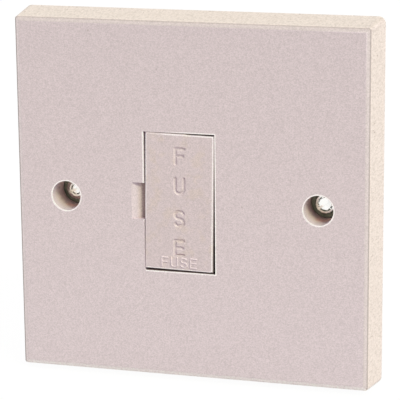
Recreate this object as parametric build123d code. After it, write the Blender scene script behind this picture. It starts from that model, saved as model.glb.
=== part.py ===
from build123d import *
from math import atan, degrees, radians, sqrt, tan
import os

# Fused spur unit: a square wall plate with a pull-out fuse carrier and its wiring behind.
# Origin: middle of the plate's rim, on the wall plane. X to the right, Z up, and Y into the
# wall, so that the front face looks along -Y. Lengths in millimetres, angles in degrees.

# Wall plate
plate_side = 86.0
plate_depth = 10.4
side_inset = 1.2
plate_corner = 1.6
shoulder_corner = 0.6
edge_band = 1.0
edge_fall = 0.45
face_corner = 0.3
face_wall = 2.6
rim_wall = 2.2
hollow_corner = 1.2
rib_wall = 1.4
rib_height = 3.2

# Fixing screws, their wells and eyelets
fixing_pitch = 60.3
well_bore = 7.0
well_wall = 1.4
well_depth = 8.1
well_floor = 1.2
eyelet_bore = 4.0
eyelet_wall = 0.5
eyelet_flange = 6.7
eyelet_flange_wall = 0.5
eyelet_flare = 6.4
eyelet_flare_wall = 0.4
fixing_thread = 3.5
fixing_neck = 2.9
fixing_length = 25.0
fixing_head = 5.0
fixing_head_rim = 0.35
fixing_head_dome = 0.5
fixing_slot = 0.9
fixing_slot_depth = 0.6
fixing_tip = 0.6
fixing_slot_turns = {"left": 24.0, "right": -52.0}

# Fuse carrier, its opening and the pry notch beside it
carrier_x = -2.6
carrier_drop = 0.2
carrier_width = 16.4
carrier_end = 3.4
carrier_gap = 0.3
carrier_end_gap = 0.33
carrier_face = 2.2
carrier_depth = 8.6
carrier_edge = 0.15
skirt_wall = 1.2
cradle_spread = 7.6
cradle_wall = 2.0
finger_wall = 1.1
finger_reach = 1.2
end_wall = 1.2
end_wall_width = 6.8
web_wall = 1.2
lip_wall = 0.9
pry_groove = 1.2
pry_groove_depth = 0.9
notch_width = 3.0
notch_height = 8.6
notch_depth = 2.2
chute_wall = 1.6

# Cartridge fuse
fuse_length = 25.4
fuse_cap = 6.3
fuse_cap_length = 5.6
fuse_cap_wall = 0.22
fuse_cap_end = 0.5
fuse_tube_bore = 3.2
fuse_wire = 0.3

# Contacts and links
strip_wall = 0.6
strip_width = 5.0
clip_width = 4.6
clip_bend = 1.0
clip_flare = 0.7
clip_flare_length = 1.0
strap_width = 6.0
strap_ring = 9.0
strap_bend = 0.9
strap_offset = 3.8

# Terminals and their screws
terminal_width = 8.5
terminal_length = 9.0
terminal_wall = 1.0
terminal_web = 1.25
terminal_edge = 0.5
terminal_pitch = 14.0
wire_bore = 4.2
saw_cut_depth = 3.2
screw_thread = 3.5
screw_shift = 1.2
screw_head = 5.6
screw_head_height = 2.0
screw_slot = 1.0
screw_slot_depth = 1.1
screw_backed_out = 1.6

# Rear housing and its cover screws
housing_wall = 1.6
housing_corner = 2.0
housing_margin = 1.05
deck_wall = 1.8
deck_edge = 0.8
tower_edge = 0.6
tower_spacing = 0.9
chamber_width = 12.4
chamber_wall = 1.4
seat_depth = 7.4
entry_bore = 5.2
rest_width = 5.0
rest_wall = 1.6
ear_radius = 2.9
ear_wall = 1.8
ear_reach = 3.2
ear_spread = 14.0
cover_thread = 2.8
cover_length = 5.6
cover_head = 4.8
cover_head_height = 1.5
cover_recess = 0.8
cover_recess_span = 2.8
cover_recess_depth = 0.8
pilot_spare = 0.3

# Clearances
running_gap = 0.3
touch_gap = 0.05
seat_gap = 0.1
snap_gap = 0.1
contact_gap = 0.1
clip_gap = 0.65
thread_gap = 0.05
cap_gap = 0.02
pocket_gap = 0.15
eyelet_gap = 0.05
head_gap = 0.3
cut_spare = 1.0

# Depths from the wall plane, front to rear
front_y = -plate_depth
shoulder_y = front_y + edge_fall
face_mid_y = front_y + face_wall / 2
face_back_y = front_y + face_wall
seat_y = front_y + seat_depth
well_floor_y = front_y + well_depth
strap_front_y = well_floor_y + well_floor
strap_rear_y = strap_front_y + strip_wall
skirt_rear_y = front_y + carrier_depth
chute_floor_y = skirt_rear_y + running_gap
chute_rear_y = chute_floor_y + chute_wall
fuse_y = chute_rear_y + fuse_cap / 2
finger_rear_y = fuse_y + finger_reach
strip_front_y = fuse_y + fuse_cap / 2 + clip_gap
strip_rear_y = strip_front_y + strip_wall
deck_y = strip_rear_y + seat_gap
deck_rear_y = deck_y + deck_wall
wire_y = strip_front_y - thread_gap - terminal_web - wire_bore / 2
terminal_front_y = wire_y - wire_bore / 2 - terminal_wall
terminal_rear_y = strip_rear_y + thread_gap + terminal_web
pocket_rear_y = terminal_rear_y + pocket_gap
screw_seat_y = terminal_rear_y + screw_backed_out
screw_rear_y = screw_seat_y + screw_head_height
screw_tip_y = wire_y + wire_bore / 2 + seat_gap
tower_rear_y = screw_rear_y + seat_gap

# Sizes and places that follow from those above
fixing_x = fixing_pitch / 2
carrier_height = fuse_length + 2 * carrier_end
carrier_lean = degrees(atan((carrier_gap - touch_gap) / (carrier_height / 2)))
carrier_lift = carrier_end_gap - touch_gap - carrier_width / 2 * tan(radians(carrier_lean))
opening_width = carrier_width + 2 * carrier_gap
opening_height = carrier_height + 2 * carrier_end_gap
chute_width = opening_width + 2 * chute_wall
chute_height = opening_height + 2 * chute_wall
fuse_tube = fuse_cap - 2 * (fuse_cap_wall + cap_gap)
finger_width = fuse_tube + 2 * (snap_gap + finger_wall)
slot_width = finger_width + 2 * running_gap
slot_height = fuse_length + 2 * (running_gap + end_wall + running_gap)
clip_inside = fuse_cap + 2 * contact_gap
cap_z = (fuse_length - fuse_cap_length) / 2
tower_width = terminal_width + 2 * (pocket_gap + housing_wall)
tower_height = terminal_length + 2 * (pocket_gap + housing_wall)
row_z = chute_height / 2 + tower_spacing + tower_height / 2
terminal_near_z = row_z - terminal_length / 2
strip_end_z = terminal_near_z + saw_cut_depth - seat_gap
screw_z = row_z + screw_shift
housing_width = 2 * (terminal_pitch + housing_margin) + tower_width
housing_height = 2 * row_z + tower_height
ear_z = housing_height / 2 + ear_reach
columns = {
    "earth": carrier_x - terminal_pitch,
    "line": carrier_x,
    "neutral": carrier_x + terminal_pitch,
}
rows = {"supply": 1, "load": -1}


def wall_plane(y):
    """Plane at depth y, parallel to the wall and facing the front."""
    return Plane.XZ.offset(-y)


def block(sketch, y_front, y_rear):
    """Straight extrusion of an X-Z sketch between two depths."""
    return extrude(wall_plane(y_rear) * sketch, y_rear - y_front)


def upright(sketch, z_low, z_high):
    """Straight extrusion of an X-Y sketch between two heights."""
    return extrude(Plane.XY.offset(z_low) * sketch, z_high - z_low)


def outline(*points):
    """Closed face through points given in order."""
    return make_face(Polyline(*points, close=True))


def both_rows(shape):
    """The shape, made for the upper row, with its mirror image in the lower row."""
    return shape + mirror(shape, about=Plane.XY)


def in_row(shape, row):
    """The upper row's shape, or its mirror image for the lower row."""
    return shape if rows[row] > 0 else mirror(shape, about=Plane.XY)


def on_carrier(sketch):
    """The sketch carried to the middle of the carrier's opening, which lies below the plate's middle."""
    return Pos(carrier_x, -carrier_drop) * sketch


def ears(sketch):
    """The sketch at each of the four places of the cover screws."""
    corners = [(side, end) for side in (-1, 1) for end in (-1, 1)]
    return [Pos(carrier_x + side * ear_spread / 2, end * ear_z) * sketch for side, end in corners]


def square_at(y, side, corner):
    """Rounded square at depth y."""
    return wall_plane(y) * RectangleRounded(side, side, corner)


def plate_shell():
    """Square tray with four sloped sides, a shallow band round its front face and an even wall."""
    shoulder = plate_side - 2 * side_inset
    outside = [
        square_at(0, plate_side, plate_corner),
        square_at(shoulder_y, shoulder, shoulder_corner),
        square_at(front_y, shoulder - 2 * edge_band, face_corner),
    ]
    hollow = plate_side - 2 * rim_wall
    hollow_inset = side_inset * face_back_y / shoulder_y
    inside = [
        square_at(0, hollow, hollow_corner),
        square_at(face_back_y, hollow - 2 * hollow_inset, hollow_corner),
    ]
    return loft(outside, ruled=True) - loft(inside, ruled=True)


def well_ribs(side):
    """Low ribs from a screw well to the rim and to the housing's seat, and a gusset up and down."""
    rim_middle = plate_side / 2 - rim_wall / 2 - side_inset / 2
    inner_end = housing_width / 2 - housing_wall / 2 + side * carrier_x
    middle = side * (rim_middle + inner_end) / 2
    gusset = well_bore + 2 * well_wall + 2 * rib_height
    cross = Pos(middle, 0) * Rectangle(rim_middle - inner_end, rib_wall)
    cross += Pos(side * fixing_x, 0) * Rectangle(rib_wall, gusset)
    return block(cross, face_mid_y, face_back_y + rib_height)


def front_plate():
    """Moulded wall plate with its screw wells, carrier chute, housing seat, bosses and rests."""
    plate = plate_shell()
    seat = RectangleRounded(housing_width, housing_height, housing_corner)
    seat -= Rectangle(housing_width - 2 * housing_wall, housing_height - 2 * housing_wall)
    plate += block(Pos(carrier_x, 0) * seat, face_mid_y, seat_y)
    plate += block(on_carrier(Rectangle(chute_width, chute_height)), face_mid_y, chute_rear_y)
    rest = Rectangle(rest_width, rest_wall) + Rectangle(rest_wall, rest_width)
    for x in columns.values():
        plate += both_rows(block(Pos(x, row_z) * rest, face_mid_y, terminal_front_y - seat_gap))
    for boss in ears(Circle(ear_radius)):
        plate += block(boss, face_mid_y, seat_y)
    for relief in ears(Circle(ear_radius + seat_gap)):
        plate -= block(relief, seat_y, cut_spare)
    for side, floor_rear_y in ((-1, strap_front_y), (1, strap_rear_y)):
        pillar = Pos(side * fixing_x, 0) * Circle(well_bore / 2 + well_wall)
        plate += block(pillar, face_mid_y, floor_rear_y) + well_ribs(side)
    for side in (-1, 1):
        well = Pos(side * fixing_x, 0)
        plate -= block(well * Circle(well_bore / 2), front_y - cut_spare, well_floor_y)
        barrel = eyelet_bore / 2 + eyelet_wall + eyelet_gap
        plate -= block(well * Circle(barrel), well_floor_y - cut_spare, strap_rear_y + cut_spare)
    for hole in ears(Circle(cover_thread / 2 + thread_gap)):
        plate -= block(hole, seat_y - cover_length + ear_wall - pilot_spare, seat_y + cut_spare)
    opening = on_carrier(Rectangle(opening_width, opening_height))
    plate -= block(opening, front_y - cut_spare, chute_floor_y)
    slot = on_carrier(Rectangle(slot_width, slot_height))
    plate -= block(slot, chute_floor_y - cut_spare, chute_rear_y + cut_spare)
    return plate - pry_notch()


def pry_notch():
    """Ramp that falls from the face to the carrier's left edge, where a blade gets under the lip."""
    edge_x = carrier_x - opening_width / 2
    ramp = outline(
        (edge_x - notch_width, front_y),
        (edge_x - notch_width, front_y - cut_spare),
        (edge_x + carrier_gap, front_y - cut_spare),
        (edge_x + carrier_gap, front_y + notch_depth),
        (edge_x, front_y + notch_depth),
    )
    return upright(ramp, -carrier_drop - notch_height / 2, -carrier_drop + notch_height / 2)


def fuse_carrier():
    """Pull-out drawer: a flush face, skirts that run in the chute and two snap cradles for the fuse.

    It leans a little in its opening, up and over until two of its corners all but touch."""
    face = block(Rectangle(carrier_width, carrier_height), front_y, front_y + carrier_face)
    face = chamfer(face.edges().group_by(Axis.Y)[0], carrier_edge)
    face_y = front_y + carrier_face / 2
    inner_width = carrier_width - 2 * skirt_wall
    skirt = Rectangle(carrier_width, carrier_height)
    skirt -= Rectangle(inner_width, carrier_height - 2 * skirt_wall)
    carrier = face + block(skirt, face_y, skirt_rear_y)
    stop_z = fuse_length / 2 + running_gap
    carrier += block(Rectangle(web_wall, 2 * stop_z + end_wall), face_y, fuse_y - fuse_cap / 2 - seat_gap)
    for end in (-1, 1):
        stop = Pos(0, end * (stop_z + end_wall / 2)) * Rectangle(end_wall_width, end_wall)
        carrier += block(stop, face_y, finger_rear_y)
        cradle = Pos(0, end * cradle_spread / 2)
        carrier += block(cradle * Rectangle(inner_width + skirt_wall, cradle_wall), face_y, skirt_rear_y)
        carrier += block(cradle * Rectangle(finger_width, cradle_wall), face_y, finger_rear_y)
    carrier -= Pos(0, fuse_y, 0) * cradle_cut()
    groove_front_y = front_y + lip_wall
    groove = Pos(-carrier_width / 2, 0) * Rectangle(2 * pry_groove_depth, notch_height)
    carrier -= block(groove, groove_front_y, groove_front_y + pry_groove)
    return Pos(carrier_x, 0, carrier_lift - carrier_drop) * Rot(0, carrier_lean, 0) * carrier


def cradle_cut():
    """Round seat for the fuse tube, with a flared mouth that narrows to a snap just past the middle."""
    seat_radius = fuse_tube / 2 + snap_gap
    mouth = outline((0, 0), (seat_radius, finger_reach), (-seat_radius, finger_reach))
    half = (cradle_spread + cradle_wall) / 2 + seat_gap
    return upright(Circle(seat_radius) + mouth, -half, half)


def on_fuse_axis(shape):
    """The shape, made about the Z axis, carried to the axis of the fuse."""
    return Pos(carrier_x, fuse_y, -carrier_drop) * shape


def fuse_tube_body():
    """Ceramic tube, a little shorter than the fuse so that both caps seat on its ends."""
    length = fuse_length - 2 * (fuse_cap_end + cap_gap)
    return on_fuse_axis(Cylinder(fuse_tube / 2, length) - Cylinder(fuse_tube_bore / 2, length))


def fuse_end_cap():
    """Thin drawn cap for the upper end of a tube about the Z axis."""
    cap_top = fuse_length / 2
    cup = upright(Circle(fuse_cap / 2), cap_top - fuse_cap_length, cap_top)
    bore = upright(Circle(fuse_tube / 2 + cap_gap), cap_top - fuse_cap_length, cap_top - fuse_cap_end)
    return cup - bore


def fuse_element():
    """Straight fuse wire from cap to cap."""
    return on_fuse_axis(Cylinder(fuse_wire / 2, fuse_length - 2 * fuse_cap_end))


def strip(x, z_low, z_high):
    """Flat link laid against the housing's deck."""
    flat = Pos(x, (z_low + z_high) / 2) * Rectangle(strip_width, z_high - z_low)
    return block(flat, strip_front_y, strip_rear_y)


def fuse_contact():
    """Upper spring clip: a U with flared lips round the fuse cap, and a tail to the line terminal."""
    arm = clip_inside / 2
    tip_y = chute_rear_y + running_gap + clip_flare_length
    clip_outside = clip_inside + 2 * strip_wall
    outer = Pos(0, (tip_y + strip_rear_y) / 2) * Rectangle(clip_outside, strip_rear_y - tip_y)
    outer = fillet(outer.vertices().group_by(Axis.Y)[-1], clip_bend)
    inner = Pos(0, (tip_y + strip_front_y) / 2) * Rectangle(clip_inside, strip_front_y - tip_y)
    inner = fillet(inner.vertices().group_by(Axis.Y)[-1], clip_bend - strip_wall)
    lip = outline(
        (arm, tip_y),
        (arm + strip_wall, tip_y),
        (arm + strip_wall + clip_flare, tip_y - clip_flare_length),
        (arm + clip_flare, tip_y - clip_flare_length),
    )
    profile = outer - inner + lip + mirror(lip, about=Plane.YZ)
    clip = upright(Pos(carrier_x, 0) * profile, cap_z - clip_width / 2, cap_z + clip_width / 2)
    return clip + strip(carrier_x, cap_z, strip_end_z)


def neutral_link():
    """Flat strip from one neutral terminal to the other."""
    return strip(columns["neutral"], -strip_end_z, strip_end_z)


def earth_strap():
    """Link between the earth terminals, with an arm that steps forward to the left fixing eyelet."""
    earth_x = columns["earth"]
    leg_x = earth_x - strap_offset
    reach = -fixing_x
    path = outline(
        (earth_x, strip_front_y),
        (earth_x, strip_rear_y),
        (leg_x - strip_wall, strip_rear_y),
        (leg_x - strip_wall, strap_rear_y),
        (reach, strap_rear_y),
        (reach, strap_front_y),
        (leg_x, strap_front_y),
        (leg_x, strip_front_y),
    )
    outside = [v for v in path.vertices() if (v.X, v.Y) == (leg_x - strip_wall, strip_rear_y)]
    path = fillet(outside, strap_bend)
    strap = upright(path, -strap_width / 2, strap_width / 2)
    strap += block(Pos(reach, 0) * Circle(strap_ring / 2), strap_front_y, strap_rear_y)
    strap += strip(earth_x, -strip_end_z, strip_end_z)
    hole = Pos(reach, 0) * Circle(eyelet_bore / 2 + eyelet_wall + eyelet_gap)
    return strap - block(hole, strap_front_y - cut_spare, strap_rear_y + cut_spare)


def fixing_eyelet(side):
    """Brass eyelet through the well's floor: a flange under the screw head and a flared rear end."""
    inner = eyelet_bore / 2
    outer = inner + eyelet_wall
    section = outline(
        (inner, well_floor_y - eyelet_flange_wall),
        (eyelet_flange / 2, well_floor_y - eyelet_flange_wall),
        (eyelet_flange / 2, well_floor_y),
        (outer, well_floor_y),
        (outer, strap_rear_y),
        (eyelet_flare / 2, strap_rear_y),
        (outer, strap_rear_y + eyelet_flare_wall),
        (inner, strap_rear_y + eyelet_flare_wall),
    )
    return Pos(side * fixing_x, 0, 0) * revolve(section, Axis.Y)


def fixing_screw(side, slot_turn):
    """Raised-head slotted machine screw with a thin neck, so that the eyelet holds it captive."""
    seat = well_floor_y - eyelet_flange_wall
    rim = seat - fixing_head_rim
    top = rim - fixing_head_dome
    neck = fixing_neck / 2
    shank = fixing_thread / 2
    thread_start = strap_rear_y + eyelet_flare_wall + eyelet_gap
    tip = seat + fixing_length
    half_dome = fixing_head / 2
    dome_radius = (half_dome**2 + fixing_head_dome**2) / (2 * fixing_head_dome)
    quarter = half_dome / 2
    middle = (quarter, top + dome_radius - sqrt(dome_radius**2 - quarter**2))
    edges = ThreePointArc((0, top), middle, (half_dome, rim))
    edges += Polyline(
        (half_dome, rim),
        (half_dome, seat),
        (neck, seat),
        (neck, thread_start),
        (shank, thread_start),
        (shank, tip - fixing_tip),
        (shank - fixing_tip, tip),
        (0, tip),
        (0, top),
    )
    screw = revolve(make_face(edges), Axis.Y)
    slot = Rot(0, 0, slot_turn) * Rectangle(fixing_head + cut_spare, fixing_slot)
    return Pos(side * fixing_x, 0, 0) * (screw - block(slot, top - cut_spare, top + fixing_slot_depth))


def terminal(x):
    """Upper brass pillar terminal: wire bore, tapped hole and a saw cut for its strip."""
    bar = Pos(x, row_z) * Rectangle(terminal_width, terminal_length)
    bar = block(bar, terminal_front_y, terminal_rear_y)
    bar = chamfer(bar.edges().filter_by(Axis.Z), terminal_edge)
    bar -= Pos(x, wire_y, row_z) * Cylinder(wire_bore / 2, terminal_length + cut_spare)
    tapped = Pos(x, screw_z) * Circle(screw_thread / 2 + thread_gap)
    bar -= block(tapped, wire_y, terminal_rear_y + cut_spare)
    cut_height = saw_cut_depth + cut_spare
    cut_z = terminal_near_z - cut_spare + cut_height / 2
    cut = Pos(x, cut_z) * Rectangle(terminal_width + cut_spare, cut_height)
    return bar - block(cut, strip_front_y - thread_gap, strip_rear_y + thread_gap)


def terminal_screw(x):
    """Slotted cheese-head screw, backed out so that its tip clears the wire bore."""
    screw = block(Circle(screw_head / 2), screw_seat_y, screw_rear_y)
    screw += block(Circle(screw_thread / 2), screw_tip_y, screw_seat_y)
    slot = Rectangle(screw_head + cut_spare, screw_slot)
    screw -= block(slot, screw_rear_y - screw_slot_depth, screw_rear_y + cut_spare)
    return Pos(x, 0, screw_z) * screw


def cover_screw(side, end):
    """Cross-recessed pan-head screw through one ear of the rear housing."""
    seat = seat_y + ear_wall
    top = seat + cover_head_height
    screw = block(Circle(cover_head / 2), seat, top)
    screw += block(Circle(cover_thread / 2), seat - cover_length, seat)
    cross = Rectangle(cover_recess_span, cover_recess) + Rectangle(cover_recess, cover_recess_span)
    screw -= block(cross, top - cover_recess_depth, top + cut_spare)
    return Pos(carrier_x + side * ear_spread / 2, 0, end * ear_z) * screw


def terminal_towers():
    """Three upper towers that stand up from the deck, one over each terminal."""
    towers = []
    for x in columns.values():
        tower = block(Pos(x, row_z) * Rectangle(tower_width, tower_height), terminal_front_y, tower_rear_y)
        towers.append(chamfer(tower.edges().group_by(Axis.Y)[-1], tower_edge))
    return towers


def terminal_cuts(x):
    """What is cut for one upper terminal: its pocket, screw hole, strip slot and wire entry."""
    pocket = Rectangle(terminal_width + 2 * pocket_gap, terminal_length + 2 * pocket_gap)
    cuts = block(Pos(x, row_z) * pocket, terminal_front_y - cut_spare, pocket_rear_y)
    hole = Pos(x, screw_z) * Circle(screw_head / 2 + head_gap)
    cuts += block(hole, pocket_rear_y - cut_spare, tower_rear_y + cut_spare)
    slot_low = slot_height / 2 - cut_spare
    slot = Pos(x, (slot_low + row_z) / 2) * Rectangle(strip_width + 2 * pocket_gap, row_z - slot_low)
    cuts += block(slot, strip_front_y - seat_gap, deck_y)
    wall_z = housing_height / 2
    entry = upright(Circle(entry_bore / 2), row_z, wall_z + cut_spare)
    return cuts + Pos(x, wire_y, 0) * entry


def rear_housing():
    """Moulded cover behind the plate: deck, six terminal towers, fuse chamber walls and four ears."""
    centre = Pos(carrier_x, 0)
    body = RectangleRounded(housing_width, housing_height, housing_corner)
    housing = block(centre * body, seat_y, deck_rear_y)
    housing = chamfer(housing.edges().group_by(Axis.Y)[-1], deck_edge)
    inside = Rectangle(housing_width - 2 * housing_wall, housing_height - 2 * housing_wall)
    housing -= block(centre * inside, seat_y - cut_spare, deck_y)
    for tower in terminal_towers():
        housing += both_rows(tower)
    chamber = Rectangle(chamber_width + 2 * chamber_wall, slot_height + 2 * chamber_wall)
    chamber -= Rectangle(chamber_width, slot_height)
    housing += block(on_carrier(chamber), chute_rear_y + seat_gap, deck_y)
    ear = Circle(ear_radius) + Pos(0, -ear_radius) * Rectangle(2 * ear_radius, 2 * ear_radius)
    for side in (-1, 1):
        place = Pos(carrier_x + side * ear_spread / 2, ear_z)
        housing += both_rows(block(place * ear, seat_y, seat_y + ear_wall))
    for hole in ears(Circle(cover_thread / 2 + pocket_gap)):
        housing -= block(hole, seat_y - cut_spare, seat_y + ear_wall + cut_spare)
    for x in columns.values():
        housing -= both_rows(terminal_cuts(x))
    wall_x = carrier_x - housing_width / 2
    notch = Pos(wall_x, 0) * Rectangle(4 * housing_wall, strap_width + 2 * pocket_gap)
    return housing - block(notch, seat_y - cut_spare, strap_rear_y + pocket_gap)


def pieces():
    """Every piece by its name."""
    named = {
        "front_plate": front_plate(),
        "fuse_carrier": fuse_carrier(),
        "fuse_tube": fuse_tube_body(),
        "fuse_element": fuse_element(),
        "rear_housing": rear_housing(),
        "neutral_link": neutral_link(),
        "earth_strap": earth_strap(),
    }
    for side_name, side in (("left", -1), ("right", 1)):
        named[f"fixing_screw_{side_name}"] = fixing_screw(side, fixing_slot_turns[side_name])
        named[f"fixing_eyelet_{side_name}"] = fixing_eyelet(side)
        for end_name, end in (("upper", 1), ("lower", -1)):
            named[f"cover_screw_{end_name}_{side_name}"] = cover_screw(side, end)
    for row in rows:
        named[f"{row}_fuse_cap"] = on_fuse_axis(in_row(fuse_end_cap(), row))
        named[f"{row}_fuse_contact"] = in_row(fuse_contact(), row)
        for column, x in columns.items():
            named[f"{column}_{row}_terminal"] = in_row(terminal(x), row)
            named[f"{column}_{row}_screw"] = in_row(terminal_screw(x), row)
    return named


os.makedirs("parts", exist_ok=True)
for name, piece in pieces().items():
    export_step(piece, f"parts/{name}.step")
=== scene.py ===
import math

import bmesh
import bpy
import numpy as np
from mathutils import Matrix, Vector


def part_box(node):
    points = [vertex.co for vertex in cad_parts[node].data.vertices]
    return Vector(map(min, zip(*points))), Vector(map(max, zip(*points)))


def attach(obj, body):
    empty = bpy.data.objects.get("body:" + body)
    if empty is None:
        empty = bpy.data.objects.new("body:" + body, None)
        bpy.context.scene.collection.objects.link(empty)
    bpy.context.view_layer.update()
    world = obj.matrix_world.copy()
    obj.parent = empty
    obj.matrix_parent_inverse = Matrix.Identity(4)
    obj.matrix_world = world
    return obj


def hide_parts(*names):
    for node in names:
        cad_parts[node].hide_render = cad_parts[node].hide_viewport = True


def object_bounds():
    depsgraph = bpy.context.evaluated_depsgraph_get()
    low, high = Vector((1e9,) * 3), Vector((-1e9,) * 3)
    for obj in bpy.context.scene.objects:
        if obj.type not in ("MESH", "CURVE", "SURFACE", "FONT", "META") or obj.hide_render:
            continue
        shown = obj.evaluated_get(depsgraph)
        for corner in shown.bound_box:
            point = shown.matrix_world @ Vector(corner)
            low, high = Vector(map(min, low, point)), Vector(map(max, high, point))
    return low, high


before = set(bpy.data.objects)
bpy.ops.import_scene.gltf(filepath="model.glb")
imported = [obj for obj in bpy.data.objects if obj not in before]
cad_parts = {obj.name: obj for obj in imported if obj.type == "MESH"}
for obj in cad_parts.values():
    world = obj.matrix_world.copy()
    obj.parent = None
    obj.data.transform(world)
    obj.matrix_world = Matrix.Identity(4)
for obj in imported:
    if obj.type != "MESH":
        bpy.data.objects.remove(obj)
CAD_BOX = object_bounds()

bl_info = {
    "name": "Fused spur unit",
    "version": (1, 0, 0),
    "blender": (4, 5, 0),
    "location": "3D View > Sidebar > Spur unit",
    "description": "Dresses the pieces of a fused spur unit and sets its studio stage",
    "category": "Object",
}

# Lengths are metres. X runs right, Z up, and the plate's face looks along -Y.
MM = 0.001
FRONT_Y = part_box("fuse_carrier")[0].y
FACE = (0.0, FRONT_Y, 0.0)
ROWS = ("supply", "load")
COLUMNS = ("earth", "line", "neutral")
SIDES = ("left", "right")
ENDS = ("upper", "lower")
WORD = "FUSE"
EVEN = (1.0, 1.0, 1.0)
WHITE = (1.0, 1.0, 1.0, 1.0)
SHARP_EDGE = math.radians(32.0)

# Factor on the plastic's colour where the warm key light doesn't reach: painted light, the warmth that the
# key light gives the lit faces
PAINTED_KEY_WARMTH = (0.985, 1.055, 0.86)

# Painted light and shade along the plate's edges, as factors on its colour: the band beside the face
# painted lighter or darker, a painted shade line at the shoulder, and the side in the warm key light's
# painted tint, brighter at the right
EDGE_LIGHT_AND_SHADE = {
    "left": ((1.26, 1.31, 1.24), (0.5, 0.49, 0.47), (1.0, 1.06, 0.86)),
    "foot": ((1.47, 1.55, 1.5), (0.94, 0.94, 0.92), (1.0, 1.06, 0.86)),
    "right": ((0.95, 0.97, 0.94), (0.73, 0.72, 0.69), (1.07, 1.1, 0.96)),
    "top": ((0.91, 0.93, 0.875), (0.87, 0.86, 0.83), (0.972, 1.013, 0.84)),
}

# Tops of the fixing screws' heads: (depth below the top, radius) in mm, from the axis outwards
HEAD_RINGS = {
    "left": ((0.2, 0.0), (0.2, 1.0), (0.34, 1.06), (0.34, 1.24), (0.24, 1.3), (0.245, 1.75), (0.5, 1.9),
             (0.56, 2.2), (0.62, 2.36)),
    "right": ((0.2, 0.0), (0.18, 0.65), (0.12, 1.4), (0.3, 1.46), (0.3, 1.74), (0.235, 1.8), (0.262, 2.25),
              (0.6, 2.42)),
}

# Depths below the top of those heads: where the side starts, and between which the metal is darkened in
# patches
HEAD_SIDE = 0.7 * MM
HEAD_DARKENING = (0.27 * MM, 0.42 * MM)

# Radii of the shanks and necks, and the gap between the end of a neck and the start of the thread
MACHINE_SHANK = 1.75 * MM
COVER_SHANK = 1.4 * MM
FIXING_NECK = 1.45 * MM
TERMINAL_NECK = 1.5 * MM
COVER_NECK = 1.1 * MM
THREAD_GAP = 0.05 * MM

# Half sizes of the cutting bars: depth and width of a terminal screw's slot, all three of a cover screw's
TERMINAL_SLOT = (1.1 * MM, 0.5 * MM)
COVER_RECESS = (1.35 * MM, 0.85 * MM, 0.38 * MM)


def middle(node):
    """Middle of a node's box."""
    low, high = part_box(node)
    return (low + high) / 2


# Kinds of properties

def colour(name, description, default):
    """Property that holds a colour."""
    return bpy.props.FloatVectorProperty(
        name=name, description=description, subtype="COLOR", size=3, min=0.0, max=1.0, default=default)


def length(name, description, millimetres):
    """Property that holds a length."""
    return bpy.props.FloatProperty(
        name=name, description=description, unit="LENGTH", default=millimetres * MM)


def lengths(name, description, *millimetres):
    """Property that holds a row of lengths."""
    return bpy.props.FloatVectorProperty(
        name=name, description=description, subtype="XYZ", unit="LENGTH", size=len(millimetres),
        default=tuple(value * MM for value in millimetres))


def angle(name, description, degrees):
    """Property that holds an angle."""
    return bpy.props.FloatProperty(
        name=name, description=description, subtype="ANGLE", default=math.radians(degrees))


def share(name, description, default):
    """Property that holds a share from 0 to 1."""
    return bpy.props.FloatProperty(
        name=name, description=description, subtype="FACTOR", min=0.0, max=1.0, default=default)


def amount(name, description, default):
    """Property that holds a plain number from 0 up."""
    return bpy.props.FloatProperty(name=name, description=description, min=0.0, default=default)


class PlasticLook(bpy.types.PropertyGroup):
    """Colours of the moulded pieces."""

    plate: colour("Plate", "Body colour of the wall plate", (0.684, 0.557, 0.648))
    carrier: colour("Carrier", "Body colour of the fuse carrier", (0.665, 0.535, 0.615))
    housing: colour("Housing", "Body colour of the rear housing", (0.64, 0.60, 0.53))
    mottle: share("Mottle", "Strength of the fine cloudy marks", 0.28)
    gloss: share("Roughness", "Roughness of the moulded faces", 0.5)


class EdgeLook(bpy.types.PropertyGroup):
    """Places of the marks along the edges of the mouldings, and colour of the painted highlights on the
    rims of the openings.
    """

    opening: lengths("Opening", "Width and height of the carrier's opening", 17.0, 32.86)
    drop: length("Drop", "How far the opening's middle lies below the plate's", 0.2)
    notch: lengths("Notch", "Width and height of the pry notch beside the opening", 3.0, 8.6)
    carrier: lengths("Carrier", "Width and height of the carrier's face", 16.4, 32.2)
    well: length("Well", "Radius of a screw well", 3.5)
    band: length("Band", "Distance of the plate's flat face from its outer edge", 2.2)
    fall: length("Fall", "How far the band falls back from the face", 0.45)
    rim: length("Rim width", "Width of the pale rims of the openings", 0.24)
    # painted highlight: colour of the bright rims round the openings and the wells' mouths
    pale: colour("Rim colour", "Colour of the pale rims of the openings", (0.99, 0.87, 0.99))


class MetalLook(bpy.types.PropertyGroup):
    """Colours of the metal pieces and of the fuse."""

    nickel: colour("Nickel", "Plated fixing screws and fuse caps", (0.98, 0.975, 0.95))
    zinc: colour("Zinc", "Plated cover screws", (0.55, 0.56, 0.57))
    brass: colour("Brass", "Terminals, their screws and the links", (0.72, 0.5, 0.2))
    bronze: colour("Bronze", "Spring contacts of the fuse", (0.56, 0.32, 0.15))
    eyelet: colour("Eyelet", "Darkened brass at the foot of the screw wells", (0.22, 0.23, 0.175))
    ceramic: colour("Ceramic", "Tube of the cartridge fuse", (0.78, 0.75, 0.69))


class Lettering(bpy.types.PropertyGroup):
    """Sizes of the word on the carrier: one tall engraved column and one small raised line."""

    height: length("Letter height", "Height of an engraved letter", 4.4)
    width: length("Letter width", "Width of an engraved letter", 2.95)
    stroke: length("Stroke", "Width of an engraved groove", 0.92)
    depth: length("Depth", "Depth of an engraved groove", 0.42)
    pitch: length("Pitch", "Height from one engraved letter to the next", 6.98)
    middle_pitch: length("Middle pitch", "Distance between the two middle letters", 7.7)
    small: share("Small letters", "Size of the raised letters against the engraved ones", 0.58)
    small_rise: length("Small rise", "Height of the raised letters over the face", 0.2)
    small_pitch: length("Small pitch", "Distance from one raised letter to the next", 2.3)
    small_drop: length("Small drop", "Distance of the raised line below the carrier's middle", 14.3)
    lean: angle("Lean", "How far the carrier leans in its opening", 0.89)


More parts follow.
